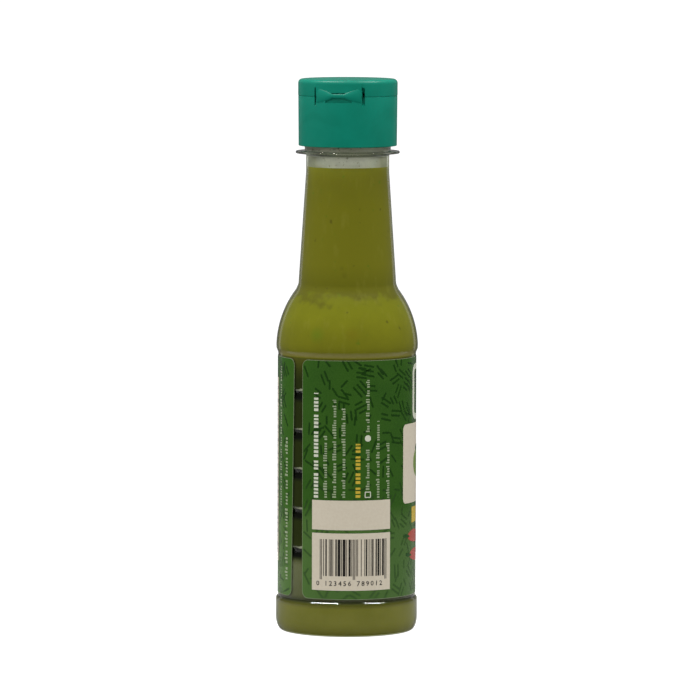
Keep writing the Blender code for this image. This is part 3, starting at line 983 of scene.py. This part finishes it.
square = (turn_at(364.2), height_at(497, 367), turn_at(370.3), height_at(490.8, 367))
headings.append(rounded_block(*square, 0.3, line=0.28))

# %% [markdown]
# The front isn't seen but for its edge, so it is a plain layout of this maker's own: a cream plaque right
# across, a white frame over it, a yellow band and three pairs of stalked chillies below, and a row of round
# green tomatillos on the plaque. A chilli is a disc that is stretched, drawn to a point at one end and bent.

# %% Front art

FRONT = along(160)


def disc(x, z, wide, high, turn_deg=0.0, taper=0.0, bend=0.0):
    """A flat round shape of this width and height, which can narrow to its far end and bend."""
    one = upright(bpy.ops.mesh.primitive_circle_add, vertices=48, radius=0.5, fill_type="NGON")
    for point in one.data.vertices:
        along_it = point.co.x
        point.co.z = point.co.z * (1 - taper * (along_it + 0.5)) + bend * (0.25 - along_it * along_it)
    return put(one, x, z, wide, high, turn_deg)


def other_side(x):
    """The same distance on the other side of the front's middle."""
    return 2 * FRONT - x


plaque_left, frame_left, band_left, chilli_left = turn_at(402.3), turn_at(411.6), turn_at(411.0), turn_at(407)
plaque = rounded_block(plaque_left, 41.0, other_side(plaque_left), 66.0, 1.6, segments=6)
headings.append(rounded_block(frame_left, 67.0, other_side(frame_left), 84.6, 3.0, line=1.8))
yellow_marks.append(block(band_left, 34.6, other_side(band_left), 39.6))
band_marks = []
x = FRONT - 17
while x < FRONT + 17:
    wide = rng.uniform(1.3, 2.4)
    band_marks.append(block(x, 35.9, x + wide, 38.3))
    x += wide + rng.choice((0.7, 0.7, 0.7, 1.9))

chillies, fruits, fruit_shade = [], [], []
chilli_x = chilli_left + 9.5
for x, z, turn_deg in ((chilli_x, 29.3, 8), (FRONT, 28.6, -6), (other_side(chilli_x), 29.3, 172)):
    step_x, step_z = math.cos(math.radians(turn_deg)), -math.sin(math.radians(turn_deg))
    for slide, drop in ((0, 0), (1.5, 6.0)):
        at_x, at_z = x + slide * step_x, z - drop
        chillies.append(disc(at_x, at_z, 19, 5.6, turn_deg, 0.75, 0.5))
        fruit_shade.append(disc(at_x - 10.2 * step_x, at_z - 10.2 * step_z, 4.0, 1.5, turn_deg, 0.5))
fruit_places = [(x, 52.5 + 1.2 * math.cos(x)) for x in [FRONT + 12 * i for i in range(-2, 3)]]
for x, z in fruit_places + [(FRONT - 13, 75.5), (FRONT + 13, 75.5)]:
    fruits.append(disc(x, z, 9.6, 9.2))
    fruit_shade.append(disc(x, z + 4.5, 4.6, 2.0, bend=0.6))
chillies.append(disc(FRONT, 75.5, 15, 5.0, 35, 0.75, 0.55))

table_left, table_right = along(262), along(292)
table = block(table_left, 22.0, table_right, 80.0)
for i in range(13):
    low = 25.5 + 4.1 * i
    bars.append(block(table_left + 0.7, low, table_right - 0.7, low + 0.2))
    bars.append(block(table_left + 1.0, low + 1.3, table_left + rng.uniform(3.5, 7.0), low + 2.4))
    bars.append(block(table_right - 2.4, low + 1.3, table_right - 1.0, low + 2.4))

# %% Printed layers

print_layers = [
    stroke_layer,
    printed_layer("print_white", headings, white_ink, 2 * INK),
    printed_layer("print_small", small_print, pale_ink, 2 * INK),
    printed_layer("print_yellow", yellow_marks, yellow_ink, 2 * INK),
    printed_layer("print_boxes", [upper_box, lower_box, plaque, table], cream_ink, 2 * INK),
    printed_layer("print_bars", bars, black_ink, 3 * INK),
    printed_layer("print_chillies", chillies, red_ink, 3 * INK),
    printed_layer("print_fruits", fruits, lime_ink, 3 * INK),
    printed_layer("print_dark", fruit_shade + band_marks, deep_green_ink, 4 * INK),
]
remove(unit_block, unit_dash)

# %% [markdown]
# The closure is injection-moulded polypropylene. Its base grips the neck finish. The skirt tapers a little,
# so that it leaves the mould, and inside the lid's rim stands a raised deck with the pouring spout.

# %% Closure base

PARTING = 168.5
BASE_TOP = PARTING - 0.03
LID_BOTTOM = PARTING + 0.03
CAP_RADIUS = 15.55

skirt = [(13.85, 152.75), (14.1, 152.7)] + rounded((15.42, 152.7), (14.1, 152.7), (CAP_RADIUS, 168.0), 0.25)
skirt += [(15.52, 164.8)] + rounded((CAP_RADIUS, BASE_TOP), (15.42, 152.7), (12, BASE_TOP), 0.12)
deck = rounded((11.8, BASE_TOP), (15, BASE_TOP), (11.8, 169.05), 0.15, 2)
deck += rounded((11.8, 169.05), (11.8, BASE_TOP), (4.8, 169.05), 0.15, 2)
deck += rounded((4.7, 169.05), (8, 169.05), (3.4, 171.4), 0.5)
spout = rounded((3.35, 171.4), (4.6, 169.05), (2.0, 171.4), 0.3)
spout += rounded((1.75, 171.4), (3, 171.4), (1.75, 167), 0.2, 2)
under_deck = [(1.75, 166.7), (13.8, 166.7)]
cap_base = turned("closure_base", skirt + deck + spout + under_deck, ring=True)

# %% Closure lid

lid_side = rounded((15.6, LID_BOTTOM), (14.4, LID_BOTTOM), (15.6, 172), 0.12)
lid_side += [(15.6, 172.2)] + rounded((15.6, 173.65), (15.6, 170), (0, 174.0), 1.3, 8)
lid_top = [(10, 173.84), (5, 173.96), (0, 174.0)]
peg = [(0.0, 169.9), (0.7, 169.95), (1.1, 170.2), (1.45, 170.9), (1.45, 172.3), (1.65, 172.5)]
hollow = [(13.9, 172.5), (14.35, 172.1), (14.35, LID_BOTTOM)]
cap_lid = turned("closure_lid", peg + hollow + lid_side + lid_top)

# %% [markdown]
# Behind, a flat notch is cut across the parting line where the hinge bends, and gets shallower on both sides
# as the closure curves away. A deep slot stands at each end of the strap. By hand these are a block and two
# rods laid across the closure and cut away with the Boolean modifier. The lid's wall is thicker behind the
# notch, so a block is joined on inside first. The side of both pieces has an extra ring of points just
# outside the cuts, which keeps the shading of the rest even.

# %% Notch and slots

NOTCH_LOW, NOTCH_HIGH, NOTCH_WIDE, NOTCH_DEEP = 166.65, 169.75, 8.4, 1.0
CUTTER_DEEP = 4.0
SLOT_HALF, SLOT_DEEP = 3.4, 3.6


def cut(piece, tool, operation="DIFFERENCE"):
    finish_with(piece, "BOOLEAN", object=tool, operation=operation, solver="EXACT")


def plain_block(y, z, wide, deep, high):
    """A block in mm on the closure's middle plane, for cutting or joining on."""
    place = (0, y * MM, z * MM)
    return new_shape(bpy.ops.mesh.primitive_cube_add, size=MM, location=place, scale=(wide, deep, high))


def rod_across(radius, length, x=0.0, y=0.0, vertices=64):
    """A rod along X at the parting line's height."""
    size = {"radius": radius * MM, "depth": length * MM, "vertices": vertices}
    place = {"location": (x * MM, y * MM, PARTING * MM), "rotation": (0, math.pi / 2, 0)}
    return new_shape(bpy.ops.mesh.primitive_cylinder_add, **size, **place)


back_wall = plain_block(-13.4, 170.6, 14.6, 2.0, 3.96)
cut(cap_lid, back_wall, "UNION")
remove(back_wall)
notch_y = NOTCH_DEEP - CAP_RADIUS - CUTTER_DEEP / 2
notch_middle = (NOTCH_LOW + NOTCH_HIGH) / 2
cutters = [plain_block(notch_y, notch_middle, NOTCH_WIDE, CUTTER_DEEP, NOTCH_HIGH - NOTCH_LOW)]
slot_radius = (SLOT_HALF**2 + SLOT_DEEP**2) / (2 * SLOT_DEEP)
slot_y = SLOT_DEEP - CAP_RADIUS - slot_radius
cutters += [rod_across(slot_radius, wide, x, slot_y) for x, wide in ((-7.62, 0.55), (7.62, 0.85))]
for piece in (cap_base, cap_lid):
    for cutter in cutters:
        cut(piece, cutter)
    smooth(piece)
remove(*cutters)

# %% [markdown]
# In front, a shallow thumb scoop is dished out of the closure base just under the lid's edge, so that a
# thumb can push the lid up. A wide cone that stands in front of the closure cuts it.

# %% Thumb scoop

scoop_size = {"radius1": 7.2 * MM, "radius2": 9.0 * MM, "depth": 6.32 * MM, "vertices": 96}
scoop = new_shape(bpy.ops.mesh.primitive_cone_add, location=(0, 23.65 * MM, 167.16 * MM), **scoop_size)
cut(cap_base, scoop)
remove(scoop)
smooth(cap_base)

# %% [markdown]
# A strap shaped like a bow tie joins the lid to the base. Two round wings lie on the closure and narrow
# towards a thin waist, which stands free over the notch and bends as the lid opens. It starts as a rod laid
# across, is cut into stations, and each ring of points is scaled and moved so that its front follows the
# closure's curve.

# %% Hinge strap

STRAP_WIDE, STRAP_RADIUS = 14.1, 1.0
CLOSURE_CURVE = 16.0
WAIST = 2.2
strap = rod_across(STRAP_RADIUS, STRAP_WIDE, vertices=40)
strap.name = "hinge_strap"
apply_placing()
stations = [-6.5, -5.9, -5.2, -4.5, -3.8, -3.2, -2.7, -2.3, -1.9, -1.2, -0.6, 0.0]
stations += [-x for x in stations[-2::-1]]
start_editing(strap)
for x in stations:
    slice_at(x)
for x in [-STRAP_WIDE / 2] + stations + [STRAP_WIDE / 2]:
    flare = min(max((abs(x) - 2.1) / 4.9, 0), 1)
    knot = math.exp(-(((abs(x) - 2.7) / 0.5) ** 2))
    high = 0.80 + 1.86 * flare**0.8 + 0.12 * knot
    deep = 0.75 + 0.10 * flare + 0.25 * knot
    front = math.sqrt(CLOSURE_CURVE**2 - x * x) - (0.2 if abs(x) < WAIST else 0.0)
    pick_points(strap, lambda p: abs(p.x - x) < 0.05)
    bpy.ops.transform.resize(value=(1, deep, high), center_override=(0, 0, PARTING * MM))
    bpy.ops.transform.translate(value=(0, (deep - front) * MM, (0.3 + 0.1 * flare) * MM))
stop_editing()
smooth(strap, 50)

# %% [markdown]
# Polypropylene for closures is coloured all through. It has a satin gloss, a fine mould texture and faint
# flow marks.

# %% Teal polypropylene

teal_polypropylene, add, place = start_material("injection-moulded teal polypropylene")
flow = add("TexNoise", {"Vector": place, "Scale": 1 / (11 * MM), "Detail": 3.0, "Distortion": 0.6})
shade = fade(add, flow, 0.35, 0.65, "0a8a72", "0e927a")
rough = add("MapRange", add("TexNoise", place, 1 / (3 * MM)), 0.3, 0.7, 0.32, 0.40)
moulded = {"Base Color": shade, "Roughness": rough, "Specular IOR Level": 0.11}
add("OutputMaterial", add("BsdfPrincipled", {**moulded, "Normal": bumps(add, place, 0.35, 0.15, 0.05)}))
for piece in (cap_base, cap_lid, strap):
    piece.data.materials.append(teal_polypropylene)

# %% [markdown]
# Each piece rides on the body that carries it, and stands for the plain solid that it replaces. The strap
# is attached to neither body and stays where it was made, across the parting line.

# %% Put the pieces on their bodies

for piece in [clear_bottle, sauce, residue, film, cap_base] + print_layers:
    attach(piece, "bottle")
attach(cap_lid, "lid")
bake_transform(strap)
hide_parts("bottle")
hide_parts("sauce")
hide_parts("label")
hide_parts("cap_base")
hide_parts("cap_lid")
